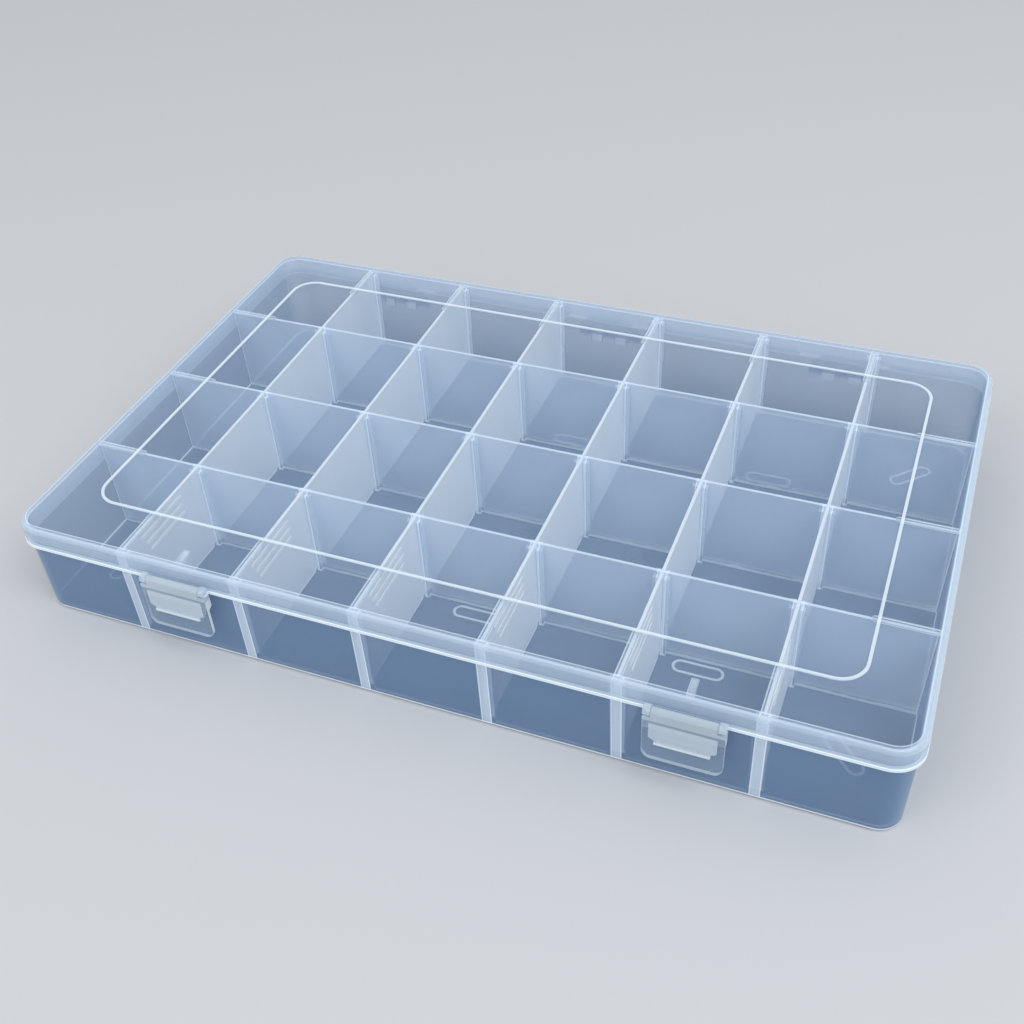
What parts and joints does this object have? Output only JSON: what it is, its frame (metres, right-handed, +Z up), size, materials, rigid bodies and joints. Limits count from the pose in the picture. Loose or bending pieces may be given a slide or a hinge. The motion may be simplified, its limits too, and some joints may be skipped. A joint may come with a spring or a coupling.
{
  "type": "compartment organizer for beads",
  "caption": "Flat translucent compartment box for beads and small parts, with loose cross dividers under one rear-hinged lid that latches at the front.",
  "frame": {"origin": "on the surface the box stands on, under the middle of the tray in plan", "axes": "+X along the long side to the right seen from the latch side, +Y towards the hinge side, +Z up"},
  "size_m": [0.345, 0.2283, 0.0455],
  "materials": {
    "tray_clear": "clear frosted polypropylene, satin",
    "lid_clear": "clear frosted polypropylene, satin with a faint grain",
    "latch_milky": "milky polypropylene, satin",
    "divider_milky": "milky polypropylene, satin"
  },
  "bodies": {
    "base": {"base_tray": "tray_clear", "divider_r1_c1": "divider_milky", "divider_r1_c2": "divider_milky", "divider_r1_c3": "divider_milky", "divider_r1_c4": "divider_milky", "divider_r1_c5": "divider_milky", "divider_r1_c6": "divider_milky", "divider_r2_c1": "divider_milky", "divider_r2_c2": "divider_milky", "divider_r2_c3": "divider_milky", "divider_r2_c4": "divider_milky", "divider_r2_c5": "divider_milky", "divider_r2_c6": "divider_milky", "divider_r3_c1": "divider_milky", "divider_r3_c2": "divider_milky", "divider_r3_c3": "divider_milky", "divider_r3_c4": "divider_milky", "divider_r3_c5": "divider_milky", "divider_r3_c6": "divider_milky", "divider_r4_c1": "divider_milky", "divider_r4_c2": "divider_milky", "divider_r4_c3": "divider_milky", "divider_r4_c4": "divider_milky", "divider_r4_c5": "divider_milky", "divider_r4_c6": "divider_milky"},
    "lid": {"lid": "lid_clear"},
    "latch_left": {"latch_left": "latch_milky"},
    "latch_right": {"latch_right": "latch_milky"}
  },
  "joints": [
    {"name": "lid_hinge", "type": "hinge", "parent": "base", "child": "lid", "pos_m": [0, 0.1114, 0.027], "axis": [-1, 0, 0], "range_deg": [0, 180]},
    {"name": "latch_left_hinge", "type": "hinge", "parent": "lid", "child": "latch_left", "pos_m": [-0.0976, -0.11215, 0.0369], "axis": [-1, 0, 0], "range_deg": [0, 110]},
    {"name": "latch_right_hinge", "type": "hinge", "parent": "lid", "child": "latch_right", "pos_m": [0.0976, -0.11215, 0.0369], "axis": [-1, 0, 0], "range_deg": [0, 110]}
  ]
}
